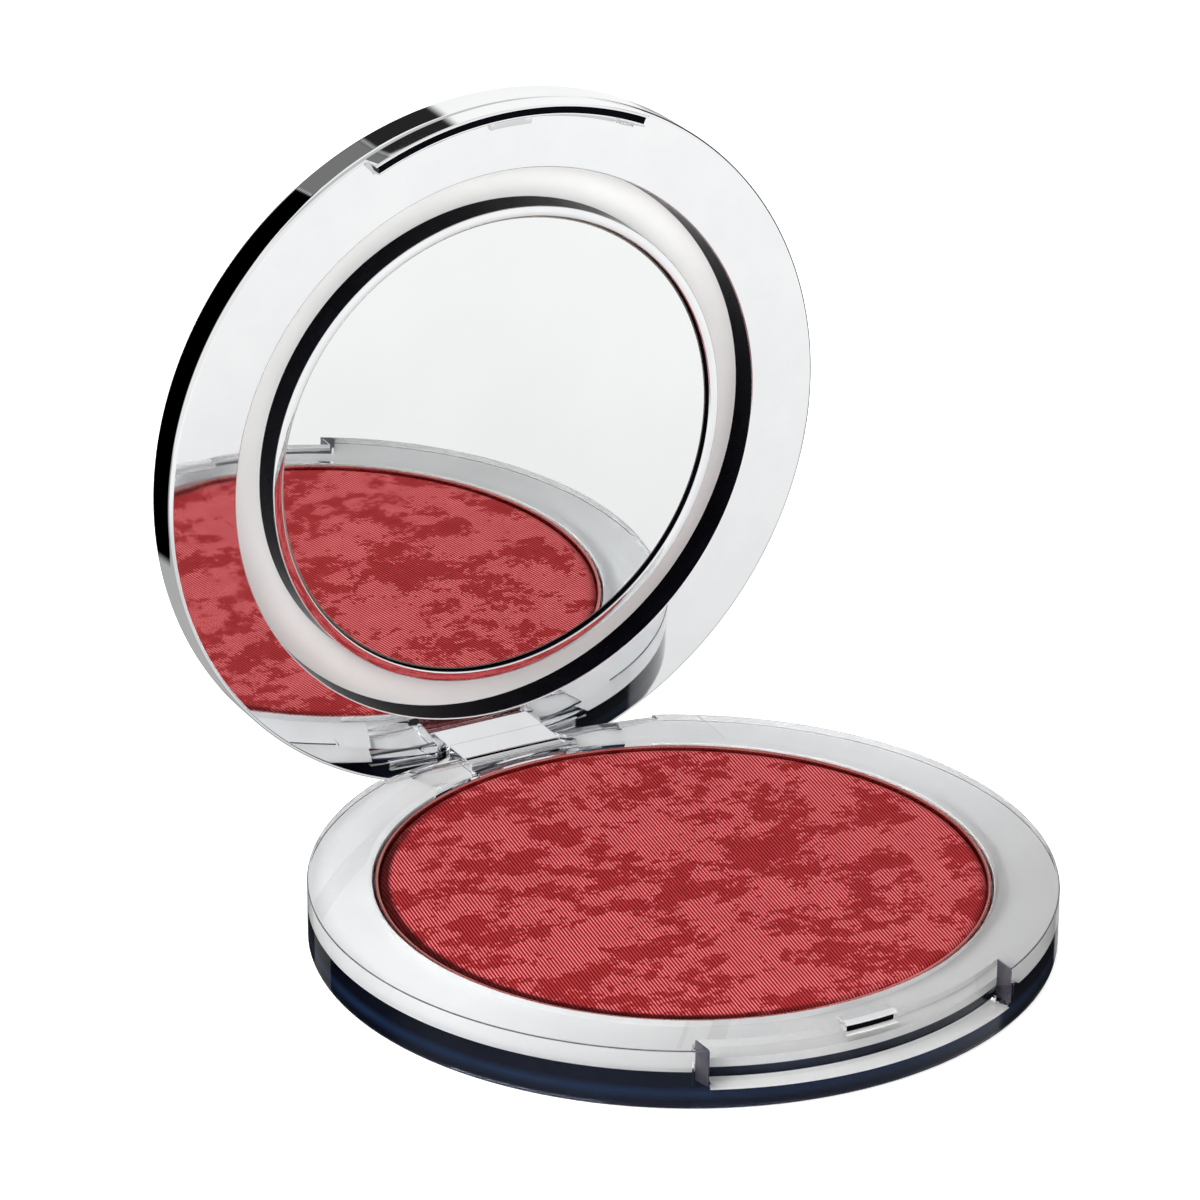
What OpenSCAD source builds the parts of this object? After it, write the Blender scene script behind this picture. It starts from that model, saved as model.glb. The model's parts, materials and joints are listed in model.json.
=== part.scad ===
// Round pressed-powder compact with a mirror in its lid, shown with the lid standing open.
// Millimetres, +Z up. The origin is the centre of the base's underside, where it meets the table.
// +Y points at the hinge and -Y at the thumb notch.

/* [Base] */
// Diameter of the round base
base_d = 72; // [71:0.5:74]
// Height of the base, from the table to its flat top face
base_h = 6.2; // [6.1:0.1:6.6]
// Wall thickness of the clear cover's outer skirt
skirt_t = 1.2; // [1:0.1:1.3]
// Height of the dark lower shell's wall
shell_h = 3.55; // [3.4:0.05:3.6]
// Thickness of the dark lower shell's floor
shell_floor = 0.9; // [0.8:0.05:1]
// Thickness of the silver tray's flange and floor
tray_t = 0.4; // [0.3:0.05:0.45]
// Diameter of the paper label under the base
label_d = 54; // [40:1:60]

/* [Pan] */
// Outside diameter of the metal pan
pan_d = 59; // [58:0.25:59]
// Height of the metal pan
pan_h = 4.35; // [4:0.05:4.5]
// Sheet thickness of the metal pan
pan_t = 0.35; // [0.25:0.05:0.4]
// How far the powder's flat top lies below the pan's rim
powder_drop = 0.15; // [0.05:0.05:0.6]
// Width of the rounded edge of the pressed powder
powder_edge = 0.9; // [0.4:0.1:1.5]

/* [Thumb notch and catch] */
// Width of the thumb notch across the front of the base
notch_w = 32.6; // [30:0.2:34]
// How far the thumb notch is cut in from the outer wall
notch_depth = 2.1; // [1.9:0.1:2.2]
// Height of the ledge at the bottom of the thumb notch
ledge_h = 2.4; // [2.2:0.05:3.2]
// Width of the catch slot in the notch's back wall
slot_w = 5.6; // [5.2:0.1:7]
// Height of the catch slot
slot_h = 1.05; // [1:0.05:1.2]
// How far the lid's catch rib stands out of the lid's inner face
rib_h = 2.0; // [1.8:0.1:2.6]
// Half of the arc that the catch rib covers, in degrees
rib_half_angle = 24.6; // [20:0.2:25]

/* [Hinge] */
// Height of the hinge axis above the table
hinge_z = 3.3; // [3.3:0.05:3.4]
// Radius of the hinge knuckle
knuckle_r = 2.3; // [2.2:0.05:2.35]
// Length of the hinge knuckle along the axis
knuckle_w = 10.8; // [9:0.2:11]
// Diameter of the hinge pin
pin_d = 1.2; // [1:0.1:1.4]
// Length of the hinge pin
pin_len = 21.6; // [18:0.2:23]
// Angle between the base's top face and the lid's inner face with the lid open, in degrees
open_angle = 88.4; // [0:0.4:88.4]

/* [Lid] */
// Diameter of the lid
lid_d = 72.4; // [72.2:0.1:73]
// Thickness of the lid at its rim
lid_t = 4; // [3.9:0.1:4.5]
// How far the lid's outside is crowned above its rim
lid_crown = 0.4; // [0.2:0.1:1]
// Outer radius of the round groove in the lid's inner face
groove_r_out = 29.05; // [28:0.25:30]
// Inner radius of the groove, which is the edge of the mirror's bezel
groove_r_in = 25.05; // [24.8:0.25:26.3]
// Depth of the groove below the lid's inner face
groove_depth = 2.8; // [2.7:0.1:2.8]
// Diameter of the mirror glass
mirror_d = 48; // [40:0.5:48]
// Thickness of the mirror glass
mirror_t = 1.0; // [0.8:0.1:1.1]
// How far the mirror glass lies below the lid's inner face
mirror_sink = 0.55; // [0.3:0.05:0.6]

/* [Hidden] */
$fn = 96;
eps = 0.01;

base_r = base_d / 2;
lid_r = lid_d / 2;
shell_r = base_r - skirt_t - 0.05;          // outside of the dark shell, just inside the clear skirt
shell_wall = 1.2;
skirt_foot = 0.1;                           // the skirt stops short of the table
flange_z = shell_h + tray_t;                // top face of the silver tray's flange
cover_gap = 0.02;                           // air gap where the clear cover lies on the tray and shell
cover_z = flange_z + cover_gap;             // underside of the cover's thick ring
label_t = 0.1;

pan_r = pan_d / 2;
well_r = pan_r + 0.1;                       // inside of the tray's well
well_wall = 0.7;
well_floor_z = shell_floor + tray_t;
glue_t = 0.15;
pan_z = well_floor_z + glue_t;
rim_z = pan_z + pan_h;
lip_r = pan_r + 0.25;                       // inside edge of the clear cover, round the pan

hinge_y = lid_r - knuckle_r;                // the knuckle's back is flush with the lid's edge
face_z = base_h + 0.1;                      // the lid's inner face when the lid is shut
slot_half = knuckle_w / 2 + 0.6;            // half width of the gap that the knuckle turns in
slot_front = hinge_y - 2.9;
slot_floor = hinge_z - knuckle_r - 0.25;
stop_lip = 0.7;                             // depth of the stop lip at the back of the knuckle's gap
ear_half = pin_len / 2 + 1.6;               // outer end of the two pin ears
ear_front = slot_front - 0.85;
facet_half = 15.6;                          // half width of the sloping facet behind the pan
facet_drop = 1.2;
pin_fit = 0.02;                             // radial clearance of the pin in its ears
knuckle_fit = 0.06;                         // radial running clearance of the knuckle on the pin

notch_back = base_r - notch_depth;
notch_wall = 0.8;
block_half = notch_w / 2 + 1.2;             // half width of the thick part of the cover at the notch
block_half_angle = asin(block_half / base_r);
block_r = notch_back - notch_wall;
block_foot = 0.5;
slot_top = base_h - 0.25;

rib_r = lid_r - 0.1;
hook_half_angle = 3.8;
plate_t = 0.8;                              // thickness of the lid frame's flat ring
liner_t = 0.4;
liner_z = face_z + groove_depth;
shell_top_t = lid_t - groove_depth - liner_t;
tape_t = 0.15;
pocket_r = mirror_d / 2 + 0.05;

// Points of a round corner of radius r about [cx, cy], from angle a0 to a1.
function arc(cx, cy, r, a0, a1, n = 6) =
    [for (i = [0 : n]) let (a = a0 + (a1 - a0) * i / n) [cx + r * cos(a), cy + r * sin(a)]];

// A round disc or ring standing between two heights.
module ring(r_out, z0, z1, r_in = 0) {
    rotate_extrude() translate([r_in, z0]) square([r_out - r_in, z1 - z0]);
}

// A ring cut to the arc that is centred on the front of the compact.
module front_sector(r_in, r_out, half_angle, z0, z1) {
    rotate([0, 0, -90 - half_angle]) rotate_extrude(angle = 2 * half_angle)
        translate([r_in, z0]) square([r_out - r_in, z1 - z0]);
}

// A block centred on X at the back of the compact.
module back_block(half_w, y0, y1, z0, z1) {
    translate([-half_w, y0, z0]) cube([2 * half_w, y1 - y0, z1 - z0]);
}

// Turns a lid part from its shut position to its open one.
module opened() {
    translate([0, hinge_y, hinge_z]) rotate([-open_angle, 0, 0]) translate([0, -hinge_y, -hinge_z])
        children();
}

// A cylinder on the hinge axis.
module on_axis(r, half_len) {
    translate([-half_len, hinge_y, hinge_z]) rotate([0, 90, 0]) cylinder(r = r, h = 2 * half_len);
}

// The gap at the back of the base that the lid's knuckle turns in. Its floor steps up at the outer
// wall to a stop lip, which the knuckle's heel meets when the lid is fully open.
module knuckle_gap() {
    back_block(slot_half, slot_front, base_r - stop_lip, slot_floor, base_h + 1);
    back_block(slot_half, slot_front, base_r + 1, hinge_z - knuckle_r, base_h + 1);
}

// Everything above the facet that slopes down to the back, which lets the lid swing past the edge.
module above_facet() {
    y0 = slot_front;
    z1 = base_h - facet_drop;
    translate([-facet_half, 0, 0]) rotate([90, 0, 90]) linear_extrude(2 * facet_half)
        polygon([[y0, base_h], [base_r, z1], [base_r + 1, z1 - facet_drop / 5],
                 [base_r + 1, base_h + 1], [y0, base_h + 1]]);
}

// The thumb notch: a shallow step in the front wall with rounded lower corners.
module thumb_notch() {
    corner = 0.8;
    difference() {
        rotate([90, 0, 0]) linear_extrude(base_r + 1) union() {
            translate([-notch_w / 2, ledge_h + corner]) square([notch_w, base_h]);
            translate([-notch_w / 2 + corner, ledge_h]) square([notch_w - 2 * corner, base_h]);
            for (side = [-1, 1]) translate([side * (notch_w / 2 - corner), ledge_h + corner])
                circle(corner, $fn = 32);
        }
        ring(notch_back, -1, base_h + 2);
    }
}

// Section of the clear cover: a thick ring that rests on the tray's flange, and the skirt outside it.
module cover_profile() {
    top_edge = 0.25;
    lip_edge = 0.6;
    foot_edge = 0.4;
    inner_r = base_r - skirt_t;
    polygon(concat(
        [[inner_r, skirt_foot]],
        arc(base_r - foot_edge, skirt_foot + foot_edge, foot_edge, -90, 0),
        arc(base_r - top_edge, base_h - top_edge, top_edge, 0, 90),
        arc(lip_r + lip_edge, base_h - lip_edge, lip_edge, 90, 180),
        [[lip_r, cover_z], [inner_r, cover_z]]
    ));
}

// Clear cover: the thick top ring, the outer skirt, the notch and the upper halves of the pin ears.
module base_cover() {
    color([0.86, 0.88, 0.91, 0.45]) difference() {
        union() {
            rotate_extrude() cover_profile();
            front_sector(block_r, base_r - 0.3, block_half_angle, block_foot, cover_z + eps);
            intersection() {
                back_block(ear_half, ear_front, base_r, hinge_z, base_h - 0.3);
                ring(base_r - 0.3, 0, base_h, lip_r + 0.3);
            }
        }
        thumb_notch();
        front_sector(block_r - 1, notch_back + 1, asin(slot_w / 2 / notch_back), slot_top - slot_h,
                     slot_top);
        knuckle_gap();
        above_facet();
        on_axis(pin_d / 2 + pin_fit, pin_len / 2 + 0.1);
    }
}

// Dark lower shell: floor, wall and the lower halves of the pin ears.
module base_shell() {
    color([0.05, 0.07, 0.13]) difference() {
        union() {
            ring(shell_r, 0, shell_floor);
            ring(shell_r, 0, shell_h, shell_r - shell_wall);
            front_sector(block_r - shell_wall - 0.05, block_r - 0.05, block_half_angle + 2, 0, shell_h);
            intersection() {
                back_block(ear_half - 0.05, ear_front, base_r, 0, hinge_z - cover_gap);
                ring(shell_r, 0, base_h, well_r + well_wall + 0.05);
            }
        }
        front_sector(block_r - 0.05, base_r, block_half_angle + 0.3, block_foot - 0.05, base_h);
        back_block(ear_half + 0.05, ear_front - 0.05, base_r, hinge_z - cover_gap, base_h);
        knuckle_gap();
        on_axis(pin_d / 2 + pin_fit, pin_len / 2 + 0.1);
        ring(label_d / 2 + 0.1, -1, label_t);
    }
}

// Silver tray: the flange that shines through the clear cover, and the well that holds the pan.
module inner_tray() {
    color([0.82, 0.83, 0.85]) difference() {
        union() {
            ring(shell_r - 0.05, shell_h, flange_z, well_r);
            ring(well_r + well_wall, shell_floor, flange_z, well_r);
            ring(well_r + well_wall, shell_floor, well_floor_z);
        }
        front_sector(block_r - 0.05, base_r, block_half_angle + 0.3, 0, base_h);
        back_block(ear_half + 0.1, ear_front - 0.05, base_r, 0, base_h);
    }
}

module pan_adhesive() {
    color([0.9, 0.88, 0.8]) ring(20, well_floor_z, pan_z);
}

// Pressed metal pan with a rolled rim.
module powder_pan() {
    color([0.8, 0.8, 0.79]) rotate_extrude() polygon(concat(
        [[0, pan_z], [pan_r - 0.6, pan_z], [pan_r, pan_z + 0.6]],
        arc(pan_r - pan_t / 2, rim_z - pan_t / 2, pan_t / 2, 0, 180),
        [[pan_r - pan_t, pan_z + 0.75], [pan_r - 0.75, pan_z + pan_t], [0, pan_z + pan_t]]
    ));
}

// Pressed powder: fills the pan, with a flat top that rolls down to the rim at its edge.
module pressed_powder() {
    r = pan_r - pan_t - 0.02;
    top = rim_z - powder_drop;
    depth = 0.4;
    color([0.72, 0.22, 0.24]) rotate_extrude() polygon(concat(
        [[0, pan_z + pan_t], [r - 0.45, pan_z + pan_t], [r, pan_z + 0.85]],
        [for (i = [0 : 6]) let (a = 15 * i) [r - powder_edge * (1 - cos(a)), top - depth * (1 - sin(a))]],
        [[0, top]]
    ));
}

module hinge_pin() {
    color([0.75, 0.75, 0.77]) on_axis(pin_d / 2, pin_len / 2);
}

module bottom_label() {
    color([0.93, 0.93, 0.91]) ring(label_d / 2, 0, label_t);
}

module rib_profile() {
    polygon([[rib_r, face_z + 0.3], [rib_r, face_z - rib_h + 0.2], [rib_r - 0.2, face_z - rib_h],
             [rib_r - 0.65, face_z - rib_h], [rib_r - 0.85, face_z - rib_h + 0.2],
             [rib_r - 1.6, face_z - 0.15], [rib_r - 1.85, face_z], [rib_r - 1.85, face_z + 0.3]]);
}

// Metallised ring of the lid's inside: flat ring, groove wall, catch rib with its hook, and knuckle.
module lid_frame() {
    color([0.86, 0.87, 0.89]) opened() difference() {
        union() {
            rotate_extrude() polygon([
                [groove_r_out, face_z], [lid_r - 0.15, face_z], [lid_r, face_z + 0.15],
                [lid_r, face_z + plate_t], [groove_r_out + 0.85, face_z + plate_t],
                [groove_r_out + 0.85, liner_z], [groove_r_out - 0.25, liner_z]
            ]);
            rotate([0, 0, -90 - rib_half_angle]) rotate_extrude(angle = 2 * rib_half_angle) rib_profile();
            front_sector(notch_back + 0.15, rib_r - 0.6, hook_half_angle, face_z - 1.3, face_z - 0.6);
            on_axis(knuckle_r, knuckle_w / 2);
            knuckle_neck();
        }
        on_axis(pin_d / 2 + knuckle_fit, knuckle_w);
    }
}

// The straight neck that joins the knuckle to the lid, a little wider where it meets the lid.
module knuckle_neck() {
    half = knuckle_w / 2;
    translate([0, hinge_y + knuckle_r, 0]) rotate([90, 0, 0]) linear_extrude(2 * knuckle_r)
        polygon([[-half, hinge_z], [half, hinge_z], [half, face_z - 1], [half + 0.3, face_z],
                 [half + 0.3, face_z + eps], [-half - 0.3, face_z + eps], [-half - 0.3, face_z],
                 [-half, face_z - 1]]);
}

// Satin disc behind the frame, which is the floor of the groove.
module lid_liner() {
    color([0.88, 0.88, 0.87]) opened() ring(lid_r - 1.2, liner_z, liner_z + liner_t);
}

// Metallised outer shell of the lid, gently crowned outside.
module lid_shell() {
    edge = 0.6;
    inner_r = lid_r - 1;
    top_z = face_z + lid_t;
    wide_r = (pow(lid_r, 2) + pow(lid_crown, 2)) / (2 * lid_crown);
    half = asin((lid_r - edge) / wide_r);
    color([0.84, 0.85, 0.88]) opened() rotate_extrude() polygon(concat(
        [[0, top_z - shell_top_t], [inner_r, top_z - shell_top_t], [inner_r, face_z + plate_t],
         [lid_r, face_z + plate_t]],
        arc(lid_r - edge, top_z - edge, edge, 0, 90),
        arc(0, top_z + lid_crown - wide_r, wide_r, 90 - half, 90, 8)
    ));
}

// Metallised dish that carries the mirror, whose rim is the raised island inside the groove.
module mirror_bezel() {
    floor_z = face_z + mirror_sink + mirror_t + tape_t;
    color([0.86, 0.87, 0.89]) opened() rotate_extrude() polygon([
        [0, floor_z], [pocket_r, floor_z], [pocket_r, face_z + 0.1], [pocket_r + 0.1, face_z],
        [groove_r_in - 0.1, face_z], [groove_r_in, face_z + 0.1], [groove_r_in + 0.1, liner_z],
        [0, liner_z]
    ]);
}

module mirror_tape() {
    z0 = face_z + mirror_sink + mirror_t;
    color([0.3, 0.3, 0.32]) opened() ring(mirror_d / 2 - 2, z0, z0 + tape_t);
}

// Round mirror glass with a ground bevel on its front edge.
module mirror_glass() {
    r = mirror_d / 2;
    z0 = face_z + mirror_sink;
    bevel = 0.3;
    color([0.9, 0.92, 0.93]) opened() rotate_extrude() polygon([
        [0, z0], [r - bevel, z0], [r, z0 + bevel], [r, z0 + mirror_t], [0, z0 + mirror_t]
    ]);
}

base_shell();
base_cover();
inner_tray();
pan_adhesive();
powder_pan();
pressed_powder();
hinge_pin();
bottom_label();
lid_frame();
lid_liner();
lid_shell();
mirror_bezel();
mirror_tape();
mirror_glass();
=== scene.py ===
"""Looks of a round powder compact standing open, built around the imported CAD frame.

Shapes are made in millimetres and scaled to metres when they become objects. Lid pieces are drawn
as they lie when the lid is shut and are then turned about the hinge to the open pose of the frame.
"""
import json
import math

import bmesh
import bpy
from mathutils import Matrix, Vector


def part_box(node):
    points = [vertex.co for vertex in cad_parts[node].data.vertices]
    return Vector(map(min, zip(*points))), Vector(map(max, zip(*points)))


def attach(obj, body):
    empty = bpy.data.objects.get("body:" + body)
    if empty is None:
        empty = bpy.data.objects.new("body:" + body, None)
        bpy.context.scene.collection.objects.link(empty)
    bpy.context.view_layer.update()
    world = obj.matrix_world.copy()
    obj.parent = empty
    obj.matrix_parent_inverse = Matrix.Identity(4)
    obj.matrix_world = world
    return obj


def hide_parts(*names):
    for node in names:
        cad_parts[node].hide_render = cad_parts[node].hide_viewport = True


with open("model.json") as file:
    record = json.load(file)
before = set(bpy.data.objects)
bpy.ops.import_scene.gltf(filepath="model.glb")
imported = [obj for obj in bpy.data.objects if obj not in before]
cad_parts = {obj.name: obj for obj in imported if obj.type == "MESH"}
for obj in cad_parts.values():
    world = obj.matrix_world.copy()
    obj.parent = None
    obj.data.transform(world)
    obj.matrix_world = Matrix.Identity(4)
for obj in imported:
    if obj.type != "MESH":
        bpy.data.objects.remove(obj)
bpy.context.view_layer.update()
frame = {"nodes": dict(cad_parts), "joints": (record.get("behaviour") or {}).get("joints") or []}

MM = 0.001
SEGMENTS = 288


def size_of(node):
    """Lowest and highest corner of a CAD node, in millimetres."""
    low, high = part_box(node)
    return low / MM, high / MM


# ---------------------------------------------------------------- dimensions taken from the frame

cover_high = size_of("base_cover")[1]
base_r = cover_high.x
base_h = cover_high.z
lid_r = size_of("lid_shell")[1].x
pan_low, pan_high = size_of("powder_pan")
powder_low, powder_high = size_of("pressed_powder")
pin_low, pin_high = size_of("hinge_pin")
bezel_foot_r = size_of("mirror_bezel")[1].x
mirror_r = size_of("mirror_glass")[1].x

lid_hinge = frame["joints"][0]
hinge = Vector(lid_hinge["pos_m"]) / MM
open_angle = math.radians(-lid_hinge["range_deg"][0])
opened = Matrix.Translation(hinge) @ Matrix.Rotation(-open_angle, 4, "X") @ Matrix.Translation(-hinge)

# ---------------------------------------------------------------- dimensions in millimetres

face_z = base_h + 0.1               # inner face of the shut lid
lid_thickness = 4.0
plate_t = 0.8                       # flat ring of the lid's inside
groove_r_out = 29.05
groove_r_in = bezel_foot_r - 0.1
groove_depth = 2.8
sleeve_t = 0.3                      # dark wall on either side of the groove
lip = 0.12                          # rounded metallised lip at the mouth of the groove and pocket
mirror_sink = 0.55
mirror_t = 1.0
mirror_back_z = face_z + mirror_sink + mirror_t
pocket_r = mirror_r + 0.05          # pocket that holds the mirror
skirt_inner_r = base_r - 1.2        # inside of the cover's clear skirt
ledge_z = 2.4                       # ledge of the thumb notch
notch_r = base_r - 2.1              # back wall of the thumb notch
notch_wall = 0.8                    # thickness of the clear wall behind the notch
notch_film_r = notch_r - notch_wall + 0.02      # silver film behind that wall
notch_half = 16.3                   # half width of the thumb notch
notch_arc = (-119.5, -60.5)         # arc that the notch's thick wall covers, in degrees
slot_half_angle = 4.7               # half of the arc of the catch slot
facet_half = 15.6                   # half width of the sloping facet at the hinge
slot_z = (4.9, 5.95)                # bottom and top of the catch slot
ear_half = 12.4                     # outer end of the clear ears that hold the hinge pin
ear_end = ear_half + 0.1            # where the films start beside the ears
knuckle_gap_half = 6.0              # half width of the gap between the ears
tray_z = size_of("inner_tray")[1].z
cover_z = tray_z + 0.02             # underside of the clear ring
film = 0.04                         # thickness of the lacquer films inside the clear plastic
film_z = cover_z + 0.01             # underside of the silver film in the clear ring
inner_film_r = pan_high.x + 0.29    # silver film on the clear ring's inner wall
catch_height = 2.0                  # height of the lid's catch rib
catch_half_angle = 24.6             # half of the arc that the catch rib covers, in degrees
hook_half_angle = 3.8               # half of the arc of the hook on the catch rib, in degrees
knuckle_r = 2.3
knuckle_half = 5.4
knuckle_bore_r = 0.66
rib_pitch = 0.33                    # fine ribs pressed into the powder
rib_depth = 0.06
rib_turn = math.radians(-10)        # the ribs run along Y, turned a little towards +X
rolled_w = 1.25                     # width and drop of the powder's rounded edge
rolled_drop = 0.6


# ---------------------------------------------------------------- mesh tools

def arc(cx, cy, radius, start, end, steps=5):
    """Points of a round corner, from one angle to another in degrees."""
    angles = [math.radians(start + (end - start) * i / steps) for i in range(steps + 1)]
    return [(cx + radius * math.cos(a), cy + radius * math.sin(a)) for a in angles]


def revolved(outline, segments=SEGMENTS):
    """Closed mesh of an outline of (radius, height) points turned about Z."""
    mesh = bmesh.new()
    rings = []
    for radius, height in outline:
        if radius < 1e-6:
            rings.append([mesh.verts.new((0, 0, height))])
            continue
        ring = []
        for i in range(segments):
            a = 2 * math.pi * i / segments
            ring.append(mesh.verts.new((radius * math.cos(a), radius * math.sin(a), height)))
        rings.append(ring)
    for ring, following in zip(rings, rings[1:] + rings[:1]):
        for i in range(segments):
            j = (i + 1) % segments
            corners = [ring[i % len(ring)], ring[j % len(ring)],
                       following[j % len(following)], following[i % len(following)]]
            corners = list(dict.fromkeys(corners))
            if len(corners) > 2:
                mesh.faces.new(corners)
    return mesh


def swept(outline, start, end, steps):
    """Closed mesh of a (radius, height) outline swept about Z between two angles, with end caps."""
    mesh = bmesh.new()
    sections = []
    for i in range(steps + 1):
        a = math.radians(start + (end - start) * i / steps)
        sections.append([mesh.verts.new((r * math.cos(a), r * math.sin(a), z)) for r, z in outline])
    count = len(outline)
    for section, following in zip(sections, sections[1:]):
        for i in range(count):
            j = (i + 1) % count
            mesh.faces.new([section[i], section[j], following[j], following[i]])
    mesh.faces.new(sections[0])
    mesh.faces.new(sections[-1][::-1])
    return mesh


def extruded(outline, x0, x1):
    """Closed mesh of a (y, z) outline extruded along X."""
    mesh = bmesh.new()
    ends = [[mesh.verts.new((x, y, z)) for y, z in outline] for x in (x0, x1)]
    count = len(outline)
    for i in range(count):
        j = (i + 1) % count
        mesh.faces.new([ends[0][i], ends[0][j], ends[1][j], ends[1][i]])
    mesh.faces.new(ends[0])
    mesh.faces.new(ends[1][::-1])
    return mesh


def rectangle(r0, r1, z0, z1):
    """Outline of a strip from one radius to another and from one height to another."""
    return [(r0, z0), (r1, z0), (r1, z1), (r0, z1)]


def half_angle(half_width, radius):
    """Half of the arc, in degrees, that spans half_width to either side at the given radius."""
    return math.degrees(math.asin(half_width / radius))


def round_edges(mesh, radius, steep=math.radians(35)):
    """Rounds every edge of the mesh that is sharper than the given angle."""
    bmesh.ops.recalc_face_normals(mesh, faces=mesh.faces)
    sharp = [e for e in mesh.edges if len(e.link_faces) == 2 and e.calc_face_angle() > steep]
    bmesh.ops.bevel(mesh, geom=sharp, offset=radius, segments=3, profile=0.5, affect="EDGES",
                    clamp_overlap=True)
    return mesh


def along_hinge(mesh):
    """Lays a mesh that was revolved about Z along the axis of the hinge."""
    place = Matrix.Translation(hinge) @ Matrix.Rotation(math.radians(90), 4, "Y")
    bmesh.ops.transform(mesh, matrix=place, verts=mesh.verts)
    return mesh


def new_object(name, mesh):
    """Object in the scene, in metres, of a mesh drawn in millimetres."""
    bmesh.ops.recalc_face_normals(mesh, faces=mesh.faces)
    data = bpy.data.meshes.new(name)
    mesh.to_mesh(data)
    mesh.free()
    data.transform(Matrix.Scale(MM, 4))
    made = bpy.data.objects.new(name, data)
    bpy.context.scene.collection.objects.link(made)
    return made


def piece(name, mesh, body, material, stands_for=(), in_lid=False, crease=32):
    """Finished object of a mesh drawn in millimetres, tied to its CAD body.

    Lid pieces are opened first, and edges steeper than the crease angle, in degrees, stay sharp.
    """
    if in_lid:
        bmesh.ops.transform(mesh, matrix=opened, verts=mesh.verts)
    made = new_object(name, mesh)
    made.data.materials.append(material)
    made.data.shade_smooth()
    made.data.set_sharp_from_angle(angle=math.radians(crease))
    weighted = made.modifiers.new("flat faces stay flat", "WEIGHTED_NORMAL")
    weighted.keep_sharp = True
    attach(made, body)
    if stands_for:
        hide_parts(*stands_for)
    return made


# ---------------------------------------------------------------- material tools

def math_node(tree, operation, *terms):
    """Result of a calculation with sockets and fixed numbers, in any node tree."""
    made = tree.nodes.new("ShaderNodeMath")
    made.operation = operation
    for socket, term in zip(made.inputs, terms):
        if isinstance(term, (int, float)):
            socket.default_value = term
        else:
            tree.links.new(term, socket)
    return made.outputs[0]


class Recipe:
    """A Principled material and the procedural nodes that feed it, in millimetres of the object."""

    def __init__(self, name, **constants):
        self.material = bpy.data.materials.new(name)
        self.material.use_nodes = True
        self.tree = self.material.node_tree
        self.shader = self.tree.nodes["Principled BSDF"]
        for socket, value in constants.items():
            self.shader.inputs[socket.replace("_", " ")].default_value = value
        place = self.tree.nodes.new("ShaderNodeTexCoord")
        scaled = self.node("ShaderNodeVectorMath", {0: place.outputs["Object"]}, {"Scale": 1 / MM},
                           operation="SCALE")
        self.millimetres = scaled.outputs["Vector"]

    def node(self, kind, links=(), values=(), **settings):
        """New node with sockets linked or set by name or number, and its own settings."""
        made = self.tree.nodes.new(kind)
        for key, value in settings.items():
            setattr(made, key, value)
        for socket, value in dict(values).items():
            made.inputs[socket].default_value = value
        for socket, source in dict(links).items():
            self.tree.links.new(source, made.inputs[socket])
        return made

    def math(self, operation, *terms):
        """Result of a calculation with sockets and fixed numbers."""
        return math_node(self.tree, operation, *terms)

    def times(self, vector, factors):
        """Vector with each of its parts multiplied by a fixed factor."""
        made = self.node("ShaderNodeVectorMath", {0: vector}, {1: factors}, operation="MULTIPLY")
        return made.outputs["Vector"]

    def distance_along(self, vector, direction):
        """Reach of a vector in a fixed direction."""
        made = self.node("ShaderNodeVectorMath", {0: vector}, {1: direction}, operation="DOT_PRODUCT")
        return made.outputs["Value"]

    def stretched(self, stretch, turn=0.0):
        """The object's coordinates turned about Z and then scaled along each axis."""
        made = self.node("ShaderNodeMapping", {"Vector": self.millimetres},
                         {"Scale": stretch, "Rotation": (0, 0, turn)})
        return made.outputs["Vector"]

    def noise(self, size, detail=3, roughness=0.5, vector=None):
        """Noise from 0 to 1 whose features are about size millimetres across."""
        made = self.node("ShaderNodeTexNoise", {"Vector": vector or self.millimetres},
                         {"Scale": 1 / size, "Detail": detail, "Roughness": roughness})
        return made.outputs["Fac"]

    def ramp(self, source, stops, smooth=False):
        """Colours or greys at positions from 0 to 1."""
        made = self.node("ShaderNodeValToRGB", {"Fac": source})
        made.color_ramp.interpolation = "EASE" if smooth else "LINEAR"
        elements = made.color_ramp.elements
        while len(elements) < len(stops):
            elements.new(0.5)
        for element, (position, colour) in zip(elements, stops):
            element.position = position
            grey = isinstance(colour, (int, float))
            element.color = (colour, colour, colour, 1) if grey else (*colour, 1)
        return made.outputs["Color"]

    def range(self, source, low, high, to_low=0.0, to_high=1.0):
        """Value carried over from one range to another, and held at its ends."""
        made = self.node("ShaderNodeMapRange", {"Value": source},
                         {"From Min": low, "From Max": high, "To Min": to_low, "To Max": to_high})
        return made.outputs["Result"]

    def mix(self, factor, first, second):
        """First colour where the factor is 0, second where it is 1."""
        made = self.node("ShaderNodeMix", {0: factor, 6: first, 7: second}, data_type="RGBA")
        return made.outputs[2]

    def multiply(self, first, second):
        """Product of two colours."""
        made = self.node("ShaderNodeMix", {6: first, 7: second}, {0: 1.0}, data_type="RGBA",
                         blend_type="MULTIPLY")
        return made.outputs[2]

    def granules(self, size, vector):
        """Places of irregular grains, size millimetres across, so that each grain gets one colour."""
        made = self.node("ShaderNodeTexVoronoi", {"Vector": vector}, {"Scale": 1 / size})
        return made.outputs["Position"]

    def feed(self, socket, source):
        """Drives a socket of the shader."""
        self.tree.links.new(source, self.shader.inputs[socket])

    def bump(self, height, depth):
        """Relief whose height signal of 1 stands for depth millimetres."""
        made = self.node("ShaderNodeBump", {"Height": height}, {"Strength": 1.0, "Distance": depth * MM})
        self.feed("Normal", made.outputs["Normal"])


# ---------------------------------------------------------------- materials

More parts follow.
